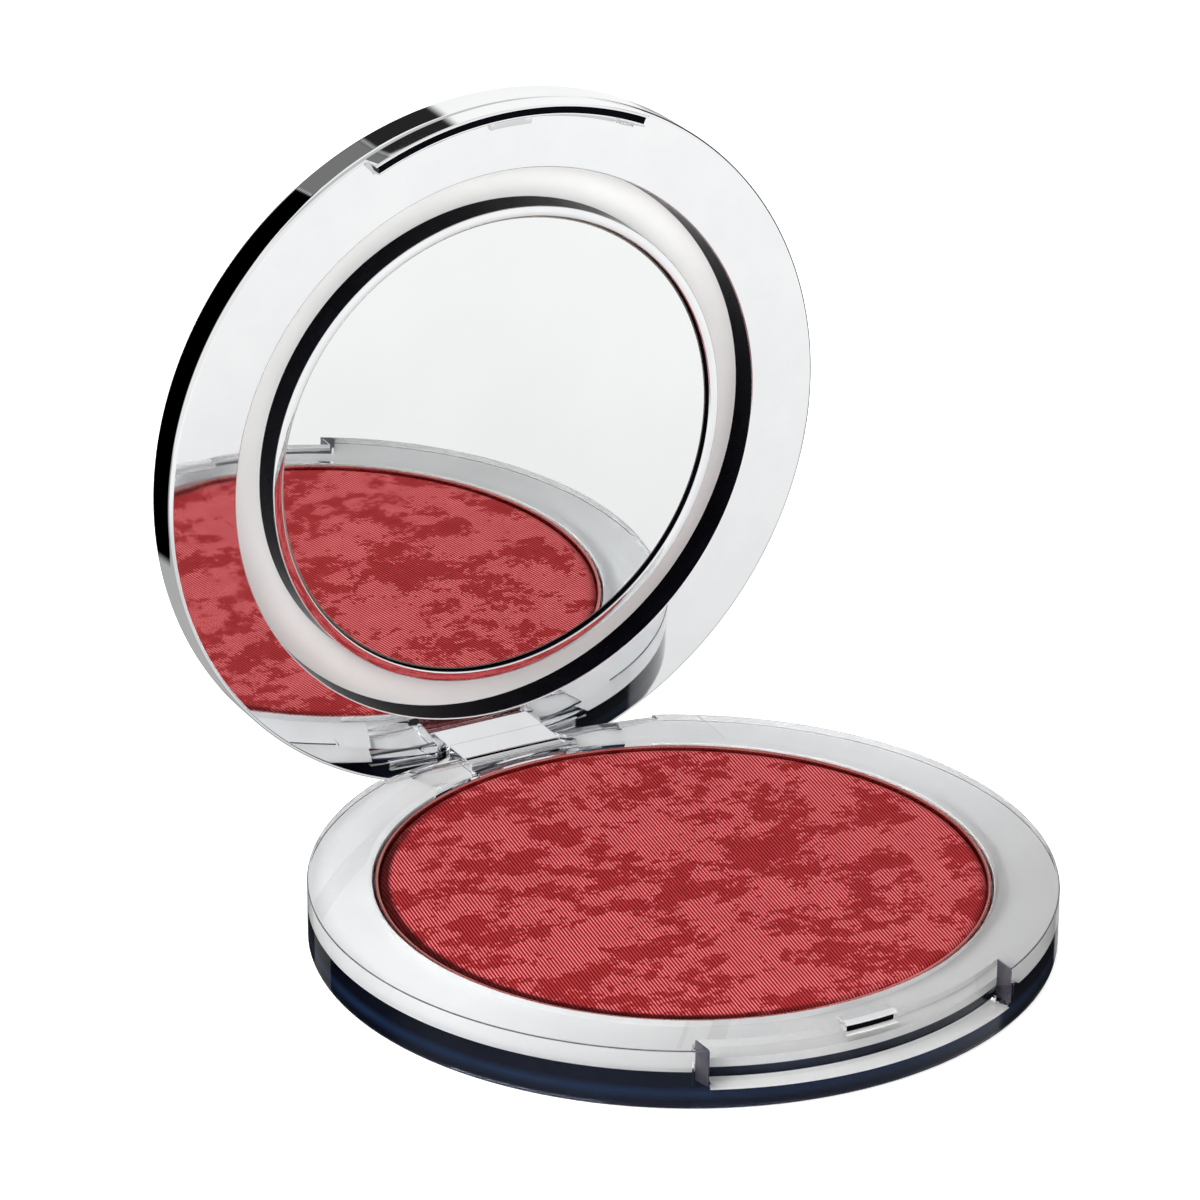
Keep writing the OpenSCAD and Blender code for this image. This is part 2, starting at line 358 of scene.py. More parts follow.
def chrome():
    """Metallised plastic: bright, with faint smears and the slow waviness of a moulded part."""
    r = Recipe("lid_metallised", Metallic=1.0)
    smear = r.noise(9.0, detail=5, roughness=0.6)
    r.feed("Base Color", r.ramp(smear, [(0.3, (0.87, 0.88, 0.89)), (0.7, (0.93, 0.935, 0.94))]))
    r.feed("Roughness", r.range(smear, 0.35, 0.7, 0.015, 0.05))
    r.bump(r.noise(7.0, detail=1), 0.010)
    return r.material


def mirror_silver():
    """Silvered glass with a trace of haze."""
    r = Recipe("mirror", Metallic=1.0)
    haze = r.noise(14.0, detail=4)
    r.feed("Base Color", r.ramp(haze, [(0.3, (0.91, 0.925, 0.925)), (0.7, (0.94, 0.95, 0.95))]))
    r.feed("Roughness", r.range(haze, 0.4, 0.75, 0.0, 0.012))
    return r.material


def clear_plastic():
    """Polished clear plastic, a little cool, with fine handling marks."""
    r = Recipe("clear_plastic", Transmission_Weight=1.0, IOR=1.49, Specular_Tint=(0.22, 0.26, 0.38, 1.0))
    marks = r.noise(1.6, detail=6, roughness=0.65, vector=r.stretched((1, 0.35, 1), math.radians(30)))
    cloud = r.noise(12.0, detail=2)
    r.feed("Base Color", r.ramp(cloud, [(0.3, (0.93, 0.95, 0.975)), (0.7, (0.96, 0.97, 0.985))]))
    r.feed("Roughness", r.range(marks, 0.55, 0.8, 0.004, 0.05))
    r.bump(r.noise(5.0, detail=1), 0.004)
    return r.material


def dark_shell():
    """Very dark navy, with a painted blue highlight line at the top and a faint painted blue highlight low
    down.
    """
    r = Recipe("dark_shell", IOR=1.5, Specular_IOR_Level=0.04)
    cloud = r.noise(6.0, detail=4)
    height = r.distance_along(r.millimetres, (0, 0, 1))
    # painted highlights: the bloom low down and the blue line at the top
    night, bloom, blue = (0.005, 0.007, 0.015), (0.013, 0.029, 0.072), (0.060, 0.100, 0.180)
    navy = r.ramp(r.range(height, 0.0, cover_z),
                  [(0.15, night), (0.36, bloom), (0.55, night), (0.94, night), (0.98, blue)])
    deep = r.ramp(cloud, [(0.3, 0.8), (0.7, 1.0)])
    r.feed("Base Color", r.multiply(navy, deep))
    r.feed("Roughness", r.range(cloud, 0.3, 0.7, 0.25, 0.4))
    r.bump(r.noise(0.25, detail=3), 0.0015)
    return r.material


def painted_dark_wall():
    """Near-black with a faint gloss: painted dark reflection on the lid's groove and pocket walls, and
    painted shade in the slots.
    """
    r = Recipe("groove_painted_dark", IOR=1.5, Specular_IOR_Level=0.02)
    cloud = r.noise(3.0, detail=5)
    r.feed("Base Color", r.ramp(cloud, [(0.3, (0.0005, 0.0005, 0.0015)), (0.75, (0.002, 0.002, 0.004))]))
    r.feed("Roughness", r.range(cloud, 0.3, 0.7, 0.10, 0.30))
    r.bump(r.noise(0.3, detail=3), 0.001)
    return r.material


def painted_smoke():
    """Painted shade: grey-violet sheet that stands in for the darker look of clear plastic seen edge on.
    """
    r = Recipe("painted_smoke", Specular_IOR_Level=0.1)
    cloud = r.noise(1.2, detail=4)
    r.feed("Base Color", r.ramp(cloud, [(0.3, (0.07, 0.06, 0.08)), (0.7, (0.13, 0.12, 0.14))]))
    r.feed("Roughness", r.range(cloud, 0.3, 0.7, 0.3, 0.5))
    r.bump(cloud, 0.002)
    return r.material


def ground_glass_edge():
    """Ground edge of the mirror, which catches a warm grey line of light."""
    r = Recipe("mirror_edge", Metallic=0.6)
    grind = r.noise(0.25, detail=5, roughness=0.7)
    r.feed("Base Color", r.ramp(grind, [(0.3, (0.20, 0.18, 0.15)), (0.7, (0.50, 0.46, 0.40))]))
    r.feed("Roughness", r.range(grind, 0.3, 0.7, 0.25, 0.45))
    r.bump(grind, 0.004)
    return r.material


def satin_silver(name, front_painted_shade):
    """Pale satin silver, with painted shade that darkens it towards the front by the given factor."""
    r = Recipe(name, Metallic=0.08, Specular_IOR_Level=0.2)
    cloud = r.noise(8.0, detail=4)
    fine = r.noise(0.3, detail=3)
    silver = r.ramp(cloud, [(0.3, (0.85, 0.85, 0.85)), (0.7, (0.89, 0.89, 0.885))])
    forward = r.distance_along(r.millimetres, (0.35, -0.94, 0))
    most_shaded = (front_painted_shade, front_painted_shade * 0.99, front_painted_shade * 0.98)
    # painted shade: darker towards the front
    painted_shade = r.ramp(r.range(forward, 0, base_r), [(0.0, (1.0, 1.0, 1.0)), (0.72, most_shaded)])
    r.feed("Base Color", r.multiply(silver, painted_shade))
    r.feed("Roughness", r.range(fine, 0.3, 0.7, 0.38, 0.5))
    r.bump(fine, 0.001)
    return r.material


def pan_metal():
    """Tinplate tinted red, with a fine drawn grain."""
    r = Recipe("pan_metal", Metallic=1.0)
    grain = r.noise(0.35, detail=5, roughness=0.6)
    tone = r.noise(4.0, detail=3)
    r.feed("Base Color", r.ramp(tone, [(0.3, (0.46, 0.12, 0.11)), (0.7, (0.62, 0.22, 0.20))]))
    r.feed("Roughness", r.range(grain, 0.3, 0.7, 0.22, 0.38))
    r.bump(grain, 0.002)
    return r.material


def pin_steel():
    """Drawn steel wire with fine lines along it."""
    r = Recipe("pin_steel", Metallic=1.0)
    lines = r.noise(0.12, detail=3, vector=r.stretched((0.05, 1, 1)))
    r.feed("Base Color", r.ramp(lines, [(0.3, (0.50, 0.50, 0.52)), (0.7, (0.72, 0.72, 0.74))]))
    r.feed("Roughness", r.range(lines, 0.3, 0.7, 0.18, 0.32))
    r.bump(lines, 0.002)
    return r.material


def satin_liner():
    """Pale satin disc at the bottom of the lid's groove."""
    r = Recipe("satin_liner", IOR=1.45)
    cloud = r.noise(10.0, detail=3)
    fine = r.noise(0.18, detail=3)
    r.feed("Base Color", r.ramp(cloud, [(0.3, (0.82, 0.82, 0.81)), (0.7, (0.87, 0.87, 0.86))]))
    r.feed("Roughness", r.range(fine, 0.3, 0.7, 0.42, 0.55))
    r.bump(fine, 0.002)
    return r.material


def paper_label():
    """Blank uncoated paper."""
    r = Recipe("label")
    fibre = r.noise(0.5, detail=6, roughness=0.7, vector=r.stretched((1, 0.4, 1)))
    r.feed("Base Color", r.ramp(fibre, [(0.3, (0.80, 0.80, 0.78)), (0.7, (0.90, 0.90, 0.88))]))
    r.feed("Roughness", r.range(fibre, 0.2, 0.8, 0.55, 0.75))
    r.bump(fibre, 0.01)
    return r.material


def rubbery(name, dark, light):
    """Matte adhesive or foam tape."""
    r = Recipe(name)
    grain = r.noise(0.4, detail=5, roughness=0.65)
    r.feed("Base Color", r.ramp(grain, [(0.3, dark), (0.7, light)]))
    r.feed("Roughness", r.range(grain, 0.2, 0.8, 0.6, 0.85))
    r.bump(grain, 0.02)
    return r.material


def marbling(r):
    """Two reds in ragged, grainy patches."""
    drift = r.stretched((0.85, 1.15, 1.0), math.radians(15))
    wobble = r.node("ShaderNodeTexNoise", {"Vector": drift}, {"Scale": 0.9, "Detail": 4}).outputs["Color"]
    shaken = r.node("ShaderNodeVectorMath", {0: drift, 1: wobble}, operation="ADD").outputs["Vector"]
    coarse = r.noise(7.0, detail=4, roughness=0.6, vector=r.granules(1.1, shaken))
    fine = r.noise(4.5, detail=8, roughness=0.78, vector=r.granules(0.42, shaken))
    level = r.math("ADD", r.math("MULTIPLY", coarse, 0.36), r.math("MULTIPLY", fine, 0.64))
    light = r.ramp(r.noise(2.2, detail=5), [(0.3, (0.55, 0.122, 0.130)), (0.7, (0.63, 0.158, 0.166))])
    dark = r.ramp(r.noise(1.8, detail=5), [(0.3, (0.335, 0.026, 0.030)), (0.7, (0.40, 0.038, 0.043))])
    return r.mix(r.ramp(level, [(0.486, 0.0), (0.492, 1.0)]), dark, light)


def painted_rib_shade(r):
    """Painted shade: white on the crest of each pressed rib, and dark red in the valleys."""
    across = r.distance_along(r.stretched((1, 1, 1), -rib_turn), (1, 0, 0))
    wave = r.math("COSINE", r.math("MULTIPLY", across, 2 * math.pi / rib_pitch))
    return r.ramp(r.range(wave, -1, 1), [(0.38, (0.30, 0.02, 0.03)), (0.95, (1.0, 1.0, 1.0))])


def painted_edge_shadow(r):
    """Painted shade: white, and darker where the cake rolls off at its edge, with a painted shadow deepest
    at the near left.
    """
    white = (1.0, 1.0, 1.0)
    flat = r.times(r.millimetres, (1, 1, 0))
    radius = r.node("ShaderNodeVectorMath", {0: flat}, operation="LENGTH").outputs["Value"]
    edge = r.range(radius, powder_high.x - 1.4, powder_high.x)
    # painted shade all round the rolled edge
    rolled = r.ramp(edge, [(0.3, white), (0.8, (0.85, 0.70, 0.70))], smooth=True)
    # painted shadow, blended in towards the near left
    deep = r.ramp(edge, [(0.05, white), (0.45, (0.12, 0.02, 0.02))], smooth=True)
    outward = r.node("ShaderNodeVectorMath", {0: flat}, operation="NORMALIZE").outputs["Vector"]
    painted_shadow_side = r.range(r.distance_along(outward, (-0.97, -0.26, 0)), 0.0, 0.6)
    return r.mix(painted_shadow_side, rolled, deep)


def pressed_powder():
    """Marbled pressed powder with fine ribs and a grainy surface."""
    r = Recipe("powder", Specular_IOR_Level=0.15)
    # the rib shading and the edge shadow are painted shade multiplied into the powder's colour
    r.feed("Base Color", r.multiply(r.multiply(marbling(r), painted_rib_shade(r)), painted_edge_shadow(r)))
    grain = r.noise(0.09, detail=4, roughness=0.7)
    r.feed("Roughness", r.range(grain, 0.2, 0.8, 0.72, 0.9))
    r.bump(grain, 0.012)
    return r.material


CHROME = chrome()
SILVER = mirror_silver()
MIRROR_EDGE = ground_glass_edge()
CLEAR = clear_plastic()
NAVY = dark_shell()
PAINTED_DARK = painted_dark_wall()
PAINTED_SMOKE = painted_smoke()
# painted shade towards the front: slight on the tray, strong on the ring's silver
TRAY = satin_silver("silver_tray", 0.95)
RING_SILVER = satin_silver("ring_silver", 0.70)
PAN = pan_metal()
STEEL = pin_steel()
SATIN = satin_liner()
PAPER = paper_label()
GLUE = rubbery("adhesive", (0.72, 0.70, 0.60), (0.86, 0.84, 0.76))
TAPE = rubbery("tape", (0.06, 0.06, 0.065), (0.10, 0.10, 0.11))
POWDER = pressed_powder()


# ---------------------------------------------------------------- base

def dress_cad_nodes():
    """CAD nodes whose shape is already right get the finished materials."""
    finishes = {"base_cover": CLEAR, "base_shell": NAVY, "inner_tray": TRAY, "pan_adhesive": GLUE,
                "bottom_label": PAPER, "lid_liner": SATIN, "mirror_tape": TAPE}
    for name, material in finishes.items():
        for material_slot in frame["nodes"][name].material_slots:
            material_slot.material = material


def build_pan():
    """Drawn metal pan with a rolled rim."""
    r = pan_high.x
    rim = 0.175
    floor_t = 0.35
    outer_bend, inner_bend = 0.6, 0.4
    wall = 0.35
    z0, z1 = pan_low.z, pan_high.z
    outline = [(0, z0), (r - outer_bend, z0)]
    outline += arc(r - outer_bend, z0 + outer_bend, outer_bend, -90, 0)
    outline += arc(r - rim, z1 - rim, rim, 0, 180, 10)
    outline += arc(r - wall - inner_bend, z0 + floor_t + inner_bend, inner_bend, 0, -90)
    outline += [(0, z0 + floor_t)]
    piece("powder_pan_drawn", revolved(outline), "base", PAN, ["powder_pan"])


def powder_height(across, r):
    """Height of the cake at a distance across its ribs and at a radius."""
    inward = min((powder_high.x - r) / rolled_w, 1.0)
    rolled = powder_high.z - rolled_drop * (1 - math.sqrt(1 - (1 - inward) ** 2))
    wave = 0.5 - 0.5 * math.cos(2 * math.pi * across / rib_pitch)
    return rolled - rib_depth * wave * inward


def powder_top(mesh):
    """Adds the ribbed top of the cake to the mesh, and returns its rim in order."""
    radius = powder_high.x
    columns_per_rib = 6
    stations = 56
    columns = round(2 * radius / rib_pitch * columns_per_rib)

    def vertex(across, along):
        x = across * math.cos(rib_turn) - along * math.sin(rib_turn)
        y = across * math.sin(rib_turn) + along * math.cos(rib_turn)
        return mesh.verts.new((x, y, powder_height(across, min(math.hypot(x, y), radius))))

    steps = [math.sin(math.pi / 2 * (2 * k / stations - 1)) for k in range(stations + 1)]
    lines = []
    for i in range(1, columns):
        across = -radius + 2 * radius * i / columns
        half = math.sqrt(radius ** 2 - across ** 2)
        lines.append([vertex(across, half * step) for step in steps])
    for line, following in zip(lines, lines[1:]):
        for k in range(stations):
            mesh.faces.new([line[k], following[k], following[k + 1], line[k + 1]])
    left, right = vertex(-radius, 0), vertex(radius, 0)
    for k in range(stations):
        mesh.faces.new([left, lines[0][k], lines[0][k + 1]])
        mesh.faces.new([right, lines[-1][k + 1], lines[-1][k]])
    return [left] + [line[0] for line in lines] + [right] + [line[-1] for line in reversed(lines)]


def build_powder():
    """Pressed cake: rounded at its edge, with fine straight ribs across its top."""
    mesh = bmesh.new()
    rim = powder_top(mesh)
    floor_z = powder_low.z
    foot = 0.45
    for inset, z in ((0, floor_z + foot), (foot, floor_z)):
        shrink = 1 - inset / powder_high.x
        lower = [mesh.verts.new((v.co.x * shrink, v.co.y * shrink, z)) for v in rim]
        for i, vert in enumerate(rim):
            j = (i + 1) % len(rim)
            mesh.faces.new([vert, rim[j], lower[j], lower[i]])
        rim = lower
    centre = mesh.verts.new((0, 0, floor_z))
    for i, vert in enumerate(rim):
        mesh.faces.new([vert, rim[(i + 1) % len(rim)], centre])
    made = piece("powder_cake", mesh, "base", POWDER, ["pressed_powder"], crease=70)
    made.modifiers.clear()


def build_pin():
    """Hinge pin: steel wire with domed ends."""
    r = (pin_high.z - pin_low.z) / 2
    half = pin_high.x
    dome = 0.35
    outline = [(0, -half)] + arc(r - dome, -half + dome, dome, -90, 0)
    outline += arc(r - dome, half - dome, dome, 0, 90) + [(0, half)]
    mesh = along_hinge(revolved(outline, 48))
    piece("hinge_pin_wire", mesh, "base", STEEL, ["hinge_pin"])


def base_strip(name, outline, start, end, material, slot):
    """Strip of the base, swept about Z."""
    steps = max(12, round((end - start) / 1.25))
    piece(name, swept(outline, start, end, steps), "base", material)


def silver_strip(name, outline, start, end, material):
    """Silver film inside the clear cover."""
    base_strip("silver_backing_" + name, outline, start, end, material, "silver_tray")


def build_skirt_lining():
    """Dark lacquer on the inside of the clear skirt, lower where the thumb notch is."""
    inner, outer = skirt_inner_r - 0.06, skirt_inner_r + 0.02
    foot = 0.15
    gap = half_angle(knuckle_gap_half, skirt_inner_r)
    tall = rectangle(inner, outer, foot, cover_z)
    low = rectangle(inner, outer, foot, ledge_z - 0.3)
    base_strip("skirt_lining_left", tall, 90 + gap, notch_arc[0] + 360, NAVY, "dark_shell")
    base_strip("skirt_lining_right", tall, notch_arc[1], 90 - gap, NAVY, "dark_shell")
    base_strip("skirt_lining_notch", low, *notch_arc, NAVY, "dark_shell")


def build_ring_backing():
    """Satin silver film under the clear ring, narrower where the thumb notch is."""
    inner, outer = inner_film_r + 0.05, base_r - 0.06
    gap = half_angle(ear_end, base_r)
    wide = rectangle(inner, outer, film_z, film_z + film)
    narrow = rectangle(inner, notch_film_r, film_z, film_z + film)
    silver_strip("left", wide, 90 + gap, notch_arc[0] + 360, RING_SILVER)
    silver_strip("right", wide, notch_arc[1], 90 - gap, RING_SILVER)
    silver_strip("front", narrow, *notch_arc, RING_SILVER)


def build_notch_backing():
    """Satin silver film behind the back wall of the thumb notch and under its ledge."""
    wall_foot = ledge_z + 0.73
    ledge_under = ledge_z - 0.25
    wall = rectangle(notch_film_r, notch_film_r + film, wall_foot, film_z + film)
    ledge = rectangle(notch_r - 0.4, base_r - 0.06, ledge_under, ledge_under + film)
    half = half_angle(notch_half - 0.1, base_r)
    silver_strip("notch", wall, *notch_arc, TRAY)
    silver_strip("ledge", ledge, -90 - half, -90 + half, TRAY)


def build_inner_wall_backing():
    """Satin silver film on the inner wall of the clear ring."""
    wall = rectangle(inner_film_r, inner_film_r + film, film_z + film, base_h - 0.35)
    gap = half_angle(ear_end, pan_high.x + 0.3)
    silver_strip("inside", wall, 90 + gap, 450 - gap, TRAY)


def build_ear_backing():
    """Satin silver film under the clear ears, just in front of the hinge pin."""
    under_pin = hinge.z + 0.03
    front_y, back_y = pan_high.x + 0.75, hinge.y - 0.65
    outline = rectangle(front_y, back_y, under_pin, under_pin + film)
    for name, side in (("left", -1), ("right", 1)):
        x0, x1 = sorted((side * (knuckle_gap_half + 0.05), side * (ear_half - 0.05)))
        piece("silver_backing_ear_" + name, extruded(outline, x0, x1), "base", TRAY)


def build_notch_ends():
    """End walls of the thumb notch, where the clear skirt is seen end on, in painted smoky shade."""
    x = notch_half + 0.05
    outline = [(-math.sqrt(r ** 2 - x ** 2), z) for r, z in
               rectangle(notch_r, base_r - 0.05, ledge_z + 0.1, base_h - 0.1)]
    for name, side in (("left", -1), ("right", 1)):
        x0, x1 = sorted((side * x, side * (x + film)))
        piece("notch_end_" + name, extruded(outline, x0, x1), "base", PAINTED_SMOKE)


def build_edge_line():
    """Painted shade: fine dark line inside the clear ring's outer top edge, left and right of notch and
    hinge.
    """
    r = base_r - 0.12
    outline = rectangle(r, r + 0.07, base_h - 0.18, base_h - 0.06)
    notch_gap = half_angle(notch_half + 0.1, base_r)
    facet_gap = half_angle(facet_half, base_r) + 0.5
    base_strip("edge_line_left", outline, 90 + facet_gap, 270 - notch_gap, PAINTED_SMOKE, "clear_plastic")
    base_strip("edge_line_right", outline, -90 + notch_gap, 90 - facet_gap, PAINTED_SMOKE, "clear_plastic")


def build_slot_lining():
    """Catch slot in the notch's wall: pale floor and ceiling with a painted shadow at its back."""
    z0, z1 = slot_z
    mouth, back = notch_r - 0.03, notch_r - 0.75
    behind = back - film
    floor_top, ceiling = z0 + film, z1 - film
    channel = [(mouth, z0), (mouth, floor_top), (back, floor_top), (back, ceiling), (mouth, ceiling),
               (mouth, z1), (behind, z1), (behind, z0)]
    # painted shadow: a black sheet at the back of the slot
    dark = rectangle(back, back + film, floor_top, ceiling)
    start, end = -90 - slot_half_angle, -90 + slot_half_angle
    base_strip("slot_lining", channel, start, end, TRAY, "silver_tray")
    base_strip("slot_painted_shadow", dark, start, end, PAINTED_DARK, "dark_shell")


# ---------------------------------------------------------------- lid, drawn shut

def lid_piece(name, outline, material, stands_for=()):
    """Piece of the lid, turned about Z from an outline of (radius, height) points."""
    piece(name, revolved(outline), "lid", material, stands_for, in_lid=True)


def build_lid_ring():
    """Flat chrome ring round the groove, with soft edges."""
    r = groove_r_out
    soft = 0.45
    step = 0.85
    z = face_z
    outline = arc(lid_r - soft, z + soft, soft, -90, 0)
    outline += [(lid_r, z + plate_t), (r + step, z + plate_t), (r + step, z + groove_depth)]
    outline += [(r + sleeve_t, z + groove_depth), (r + sleeve_t, z + lip), (r, z + lip)]
    outline += arc(r + lip, z + lip, lip, 180, 270)
    lid_piece("lid_ring", outline, CHROME, ["lid_frame"])


def build_dark_walls():
    """Walls on both sides of the groove and round the mirror's pocket, dark with painted reflection."""
    top = face_z + lip
    floor_z = face_z + groove_depth
    out, inner = groove_r_out, groove_r_in
    walls = {
        "groove_wall_outer": [(out, top), (out + sleeve_t, top), (out + sleeve_t, floor_z),
                              (out - 0.25, floor_z)],
        "groove_wall_inner": [(inner - sleeve_t, top), (inner, top), (inner + 0.1, floor_z),
                              (inner - sleeve_t, floor_z)],
        "pocket_wall": rectangle(pocket_r, pocket_r + sleeve_t, top, mirror_back_z),
    }
    for name, outline in walls.items():
        lid_piece(name, outline, PAINTED_DARK)


def build_bezel():
    """Chrome dish that carries the mirror: a thin soft-edged rim round a pocket."""
    r = groove_r_in
    top = face_z + lip
    floor_z = mirror_back_z + 0.15
    back_z = face_z + groove_depth
    outline = [(0, floor_z), (pocket_r + sleeve_t, floor_z), (pocket_r + sleeve_t, top)]
    outline += arc(pocket_r + lip, top, lip, 180, 270)
    outline += arc(r - lip, top, lip, -90, 0)
    outline += [(r - sleeve_t, top), (r - sleeve_t, back_z), (0, back_z)]
    lid_piece("mirror_dish", outline, CHROME, ["mirror_bezel"])


def build_mirror():
    """Round mirror, and the ground bevel that frames it."""
    z0 = face_z + mirror_sink
    bevel = 0.3
    flat_r = mirror_r - bevel
    plate = rectangle(0, flat_r, z0, mirror_back_z)
    lid_piece("mirror_plate", plate, SILVER, ["mirror_glass"])
    edge = arc(flat_r, z0 + bevel, bevel, -90, 0, 4) + [(mirror_r, mirror_back_z), (flat_r, mirror_back_z)]
    lid_piece("mirror_ground_edge", edge, MIRROR_EDGE)


def build_lid_shell():
    """Outer shell of the lid: flat side, soft edge and a gently crowned top."""
    soft = 0.6
    crown = 0.4
    inner_r = lid_r - 1
    plate_z = face_z + plate_t
    top = face_z + lid_thickness
    inside_z = face_z + groove_depth + 0.4
    crown_r = (lid_r ** 2 + crown ** 2) / (2 * crown)
    half = half_angle(lid_r - soft, crown_r)
    outline = [(0, inside_z), (inner_r, inside_z), (inner_r, plate_z), (lid_r, plate_z)]
    outline += arc(lid_r - soft, top - soft, soft, 0, 90, 8)
    outline += arc(0, top + crown - crown_r, crown_r, 90 - half, 90, 24)
    lid_piece("lid_outer_shell", outline, CHROME, ["lid_shell"])


def catch_piece(name, outline, half, steps, material, soft=0.0):
    """Piece of the catch, swept over the same arc to both sides of the lid's front."""
    mesh = swept(outline, -90 - half, -90 + half, steps)
    if soft:
        round_edges(mesh, soft)
    piece(name, mesh, "lid", material, in_lid=True)


def build_catch():
    """Rib that drops into the thumb notch: two ridges with a slot between them, darkened by a sheet of
    painted shade, and the hook.
    """
    r = lid_r - 0.1
    root = face_z + 0.1
    tip = face_z - catch_height
    slot_floor = tip + 1.2
    slot_out, slot_in = r - 0.24, r - 0.96
    outer_ridge = [(r, root), (r, tip + 0.15), (r - 0.05, tip + 0.04), (r - 0.12, tip), (slot_out, tip)]
    slot = [(slot_out, slot_floor), (slot_in, slot_floor)]
    inner_ridge = [(slot_in, tip + 0.1), (r - 1.08, tip + 0.1), (r - 1.16, tip + 0.15),
                   (r - 1.22, tip + 0.3), (r - 1.6, face_z - 0.15), (r - 1.85, face_z), (r - 1.85, root)]
    catch_piece("catch_rib", outer_ridge + slot + inner_ridge, catch_half_angle, 96, CHROME)
    painted_slot_shade = rectangle(slot_in - 0.01, slot_out + 0.01, tip + 0.2, slot_floor + 0.02)
    catch_piece("catch_rib_painted_shade", painted_slot_shade, catch_half_angle - 0.3, 96, PAINTED_DARK)
    hook = rectangle(notch_r + 0.15, r - 0.6, face_z - 1.3, face_z - 0.6)
    catch_piece("catch_hook", hook, hook_half_angle, 12, CHROME, soft=0.1)


def bore(made, drill):
    """Cuts a drill's mesh out of an object, and keeps the result as its mesh."""
    tool = new_object("drill", drill)
    cut = made.modifiers.new("bore", "BOOLEAN")
    cut.object = tool
    cut.solver = "EXACT"
    bpy.context.view_layer.update()
    evaluated = made.evaluated_get(bpy.context.evaluated_depsgraph_get())
    bored = bpy.data.meshes.new_from_object(evaluated)
    made.modifiers.clear()
    made.data = bored
    bpy.data.objects.remove(tool)


def build_knuckle():
    """Hinge knuckle: a barrel on the pin and the straight neck that joins it to the lid."""
    y0, y1 = hinge.y - knuckle_r, hinge.y + knuckle_r
    root = face_z + 0.1
    outline = arc(hinge.y, hinge.z, knuckle_r, 180, 360, 32) + [(y1, root), (y0, root)]
    mesh = round_edges(extruded(outline, -knuckle_half, knuckle_half), 0.2)
    made = piece("hinge_knuckle", mesh, "lid", CHROME, in_lid=True)
    past_end = knuckle_half + 2.6
    bore(made, along_hinge(revolved(rectangle(0, knuckle_bore_r, -past_end, past_end), 48)))


dress_cad_nodes()
build_pan()
build_powder()
build_pin()
build_skirt_lining()
build_ring_backing()
build_notch_backing()
build_inner_wall_backing()
build_ear_backing()
build_slot_lining()
build_notch_ends()
build_edge_line()
build_lid_ring()
build_dark_walls()
build_bezel()
build_mirror()
build_lid_shell()
build_catch()
build_knuckle()


# ---------------------------------------------------------------- stage, light and camera

def build_floor():
    """Plain pale floor, just below the compact."""
    floor = new_object("floor", revolved(rectangle(0, 2500, -1, -0.05), 64))
    r = Recipe("floor_paper", Roughness=0.8, Specular_IOR_Level=0.1, Emission_Strength=0.6)
    pale = r.ramp(r.noise(3.0, detail=3), [(0.3, 0.90), (0.7, 0.92)])
    r.feed("Base Color", pale)
    r.feed("Emission Color", pale)
    floor.data.materials.append(r.material)
    floor.visible_glossy = False
    floor.visible_transmission = False


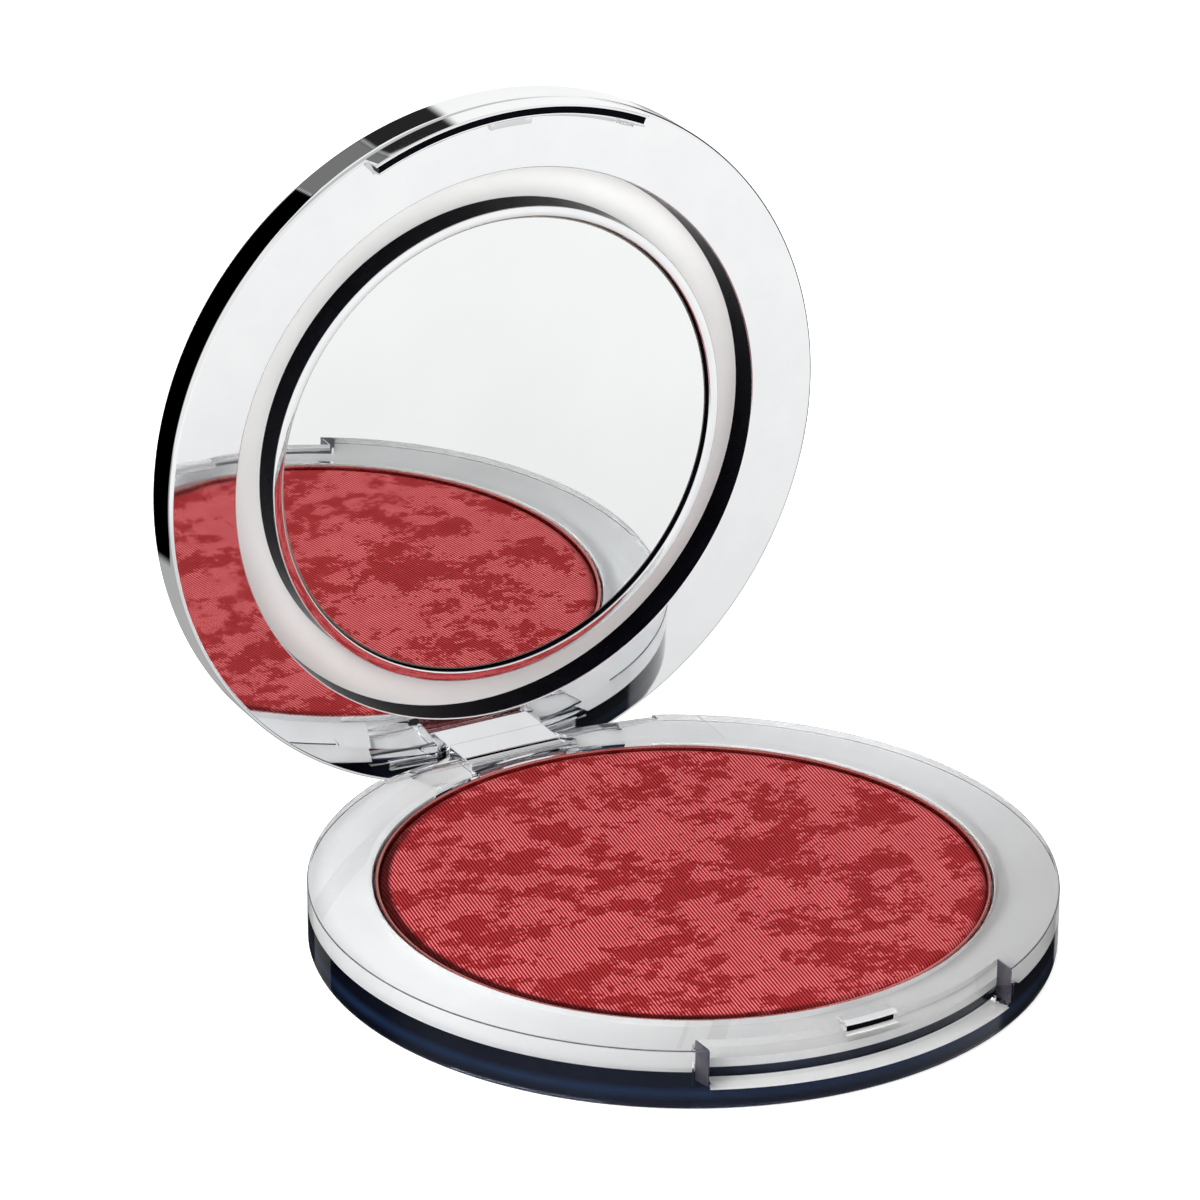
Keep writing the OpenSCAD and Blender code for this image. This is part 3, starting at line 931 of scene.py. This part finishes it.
def build_world():
    """Soft white studio with dark cards behind to the left and at the right, for the chrome to mirror."""
    world = bpy.data.worlds.new("studio")
    bpy.context.scene.world = world
    world.use_nodes = True
    tree = world.node_tree
    nodes, links = tree.nodes, tree.links

    def math_of(operation, *terms):
        return math_node(tree, operation, *terms)

    def soft_step(value, start, end):
        """0 before start and 1 after end, with a smooth rise between them."""
        made = nodes.new("ShaderNodeMapRange")
        made.interpolation_type = "SMOOTHSTEP"
        links.new(value, made.inputs["Value"])
        made.inputs["From Min"].default_value = start
        made.inputs["From Max"].default_value = end
        return made.outputs["Result"]

    def between(value, low, high, soft, low_soft=None):
        """1 between low and high, with soft edges."""
        low_soft = low_soft or soft
        rise = soft_step(value, low - low_soft, low + low_soft)
        fall = soft_step(value, high + soft, high - soft)
        return math_of("MULTIPLY", rise, fall)

    def blend(first, second, share):
        """First shade where the share is 0, and second where it is 1."""
        kept = math_of("MULTIPLY", first, math_of("SUBTRACT", 1.0, share))
        return math_of("ADD", kept, math_of("MULTIPLY", share, second))

    direction = nodes.new("ShaderNodeTexCoord").outputs["Generated"]
    parts = nodes.new("ShaderNodeSeparateXYZ")
    links.new(direction, parts.inputs[0])
    x, y, z = parts.outputs
    azimuth = math_of("MULTIPLY", math_of("ARCTAN2", x, y), 180 / math.pi)
    elevation = math_of("MULTIPLY", math_of("ARCSINE", z), 180 / math.pi)

    def add_card(shade, level, azimuths, elevations):
        """Shade with a card of the given level laid over it, between angles in degrees."""
        return blend(shade, level, math_of("MULTIPLY", between(azimuth, *azimuths),
                                           between(elevation, *elevations)))

    table_front = math_of("ADD", 0.74, math_of("MULTIPLY", soft_step(elevation, -32, -21), 0.26))
    table = blend(0.43, table_front, soft_step(y, 0.1, -0.3))
    towards_back = math_of("ADD", math_of("MULTIPLY", x, 0.5), math_of("MULTIPLY", y, 0.8))
    sky = math_of("ADD", 0.9, math_of("MULTIPLY", soft_step(towards_back, -0.7, 0.5), 0.1))
    zenith = math_of("SUBTRACT", 1.0, math_of("MULTIPLY", soft_step(elevation, 42, 60), 0.4))
    sky = math_of("MULTIPLY", sky, zenith)
    studio = blend(table, sky, soft_step(elevation, -12, -6))
    # black, grey and dark cards side by side behind the lid, and a black one at the right
    studio = add_card(studio, 0.0, (-62, -12.5, 0.5, 16), (-29.5, 38, 0.7))
    studio = add_card(studio, 0.19, (-12.5, 4.5, 0.5), (-29.5, 39, 0.7))
    studio = add_card(studio, 0.02, (4.5, 20.5, 1.2), (-29.5, 38, 0.7))
    studio = add_card(studio, 0.01, (50, 97, 2.0), (-29, 30, 2.0))
    background = nodes["Background"]
    links.new(studio, background.inputs["Color"])
    white = nodes.new("ShaderNodeBackground")
    white.inputs["Strength"].default_value = 1.05
    white.inputs["Color"].default_value = (1, 1, 1, 1)
    mix = nodes.new("ShaderNodeMixShader")
    links.new(nodes.new("ShaderNodeLightPath").outputs["Is Camera Ray"], mix.inputs[0])
    links.new(background.outputs[0], mix.inputs[1])
    links.new(white.outputs[0], mix.inputs[2])
    links.new(mix.outputs[0], nodes["World Output"].inputs["Surface"])


def softbox(name, position, size, watts):
    """Square area light aimed at the base, and left out of the reflections in the chrome."""
    data = bpy.data.lights.new(name, "AREA")
    data.shape = "SQUARE"
    data.size = size
    data.energy = watts
    light = bpy.data.objects.new(name, data)
    light.location = position
    light.rotation_mode = "QUATERNION"
    light.rotation_quaternion = (-Vector(position)).to_track_quat("-Z", "Y")
    light.visible_glossy = False
    bpy.context.scene.collection.objects.link(light)


def build_camera():
    """Long lens from the front left, a little above."""
    azimuth, elevation, roll = (math.radians(angle) for angle in (-30.13, 23.755, 0.37))
    distance = 0.5468
    target = Vector((-0.00127, 0.014, 0.02955))
    back = Vector((math.sin(azimuth) * math.cos(elevation), -math.cos(azimuth) * math.cos(elevation),
                   math.sin(elevation)))
    data = bpy.data.cameras.new("camera")
    data.lens = 171.0
    data.sensor_width = 36.0
    data.clip_start, data.clip_end = 0.01, 20
    camera = bpy.data.objects.new("camera", data)
    camera.location = target + back * distance
    camera.rotation_mode = "QUATERNION"
    level = (-back).to_track_quat("-Z", "Y").to_matrix()
    camera.rotation_quaternion = (level @ Matrix.Rotation(roll, 3, "Z")).to_quaternion()
    bpy.context.scene.collection.objects.link(camera)
    bpy.context.scene.camera = camera


build_floor()
build_world()
softbox("key", (-0.42, -0.08, 0.30), size=0.42, watts=4.7)
softbox("fill", (-0.10, -0.60, 0.30), size=0.35, watts=0.8)
build_camera()
bpy.context.scene.view_settings.view_transform = "Standard"
